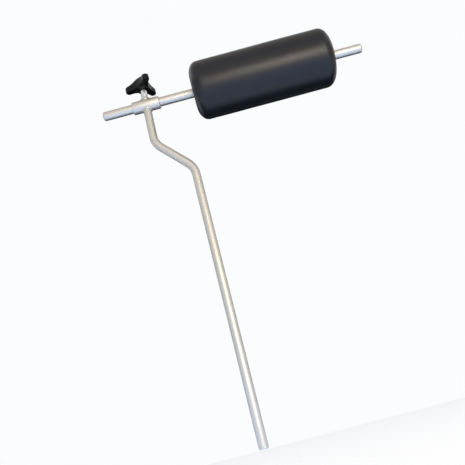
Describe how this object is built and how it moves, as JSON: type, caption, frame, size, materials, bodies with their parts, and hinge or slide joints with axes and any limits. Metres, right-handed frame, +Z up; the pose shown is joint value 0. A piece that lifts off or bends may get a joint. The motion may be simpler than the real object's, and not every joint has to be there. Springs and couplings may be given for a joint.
{
  "type": "padded roller support",
  "caption": "Cranked round steel post with a cross sleeve, a sliding round bar locked by a three-lobed knob, and a padded roller that turns on the bar.",
  "frame": {"origin": "centre of the post's lower end face, on the axis of the shank that a rail clamp grips", "axes": "+Z up along the shank, +X along the bar towards the roller, +Y away from the side that is seen in front"},
  "size_m": [0.522, 0.114, 0.7221],
  "materials": {
    "stainless": "fine satin polish, round stock",
    "weld_metal": "dressed weld bead, slightly rippled",
    "stud_steel": "bright turned steel",
    "spring_steel": "dark phosphated spring steel",
    "brass": "turned brass",
    "knob_plastic": "black moulded phenolic, glossy",
    "bush_plastic": "white acetal",
    "core_plastic": "grey extruded plastic tube",
    "foam": "pale polyurethane foam, hidden under the cover",
    "cover": "black satin polyurethane skin with a fine grain"
  },
  "bodies": {
    "post": {"post": "stainless", "cross_sleeve": "stainless", "clamp_boss": "stainless", "post_weld": "weld_metal", "boss_weld": "weld_metal"},
    "bar": {"bar": "stainless", "circlip_left": "spring_steel", "circlip_right": "spring_steel", "washer_left": "stud_steel", "washer_right": "stud_steel"},
    "roller": {"roller_cover": "cover", "foam_roll": "foam", "core_tube": "core_plastic", "bush_left": "bush_plastic", "bush_right": "bush_plastic"},
    "thrust_pad": {"thrust_pad": "brass"},
    "knob": {"knob": "knob_plastic", "knob_cap": "knob_plastic", "knob_hub": "stud_steel", "clamp_stud": "stud_steel"}
  },
  "joints": [
    {"name": "bar_slide", "type": "slide", "parent": "post", "child": "bar", "axis": [1, 0, 0], "range_m": [-0.055, 0.055]},
    {"name": "roller_spin", "type": "hinge", "parent": "bar", "child": "roller", "pos_m": [0.1715, 0, 0.66], "axis": [1, 0, 0], "continuous": true},
    {"name": "screw_travel", "type": "slide", "parent": "post", "child": "thrust_pad", "axis": [0, 0, 1], "range_m": [0, 0.0045]},
    {"name": "knob_turn", "type": "hinge", "parent": "thrust_pad", "child": "knob", "pos_m": [-0.063, 0, 0.707], "axis": [0, 0, 1], "range_deg": [0, 1080]}
  ],
  "couplings": [
    {"joint": "screw_travel", "follows": "knob_turn", "m_per_rad": 0.00023873}
  ]
}
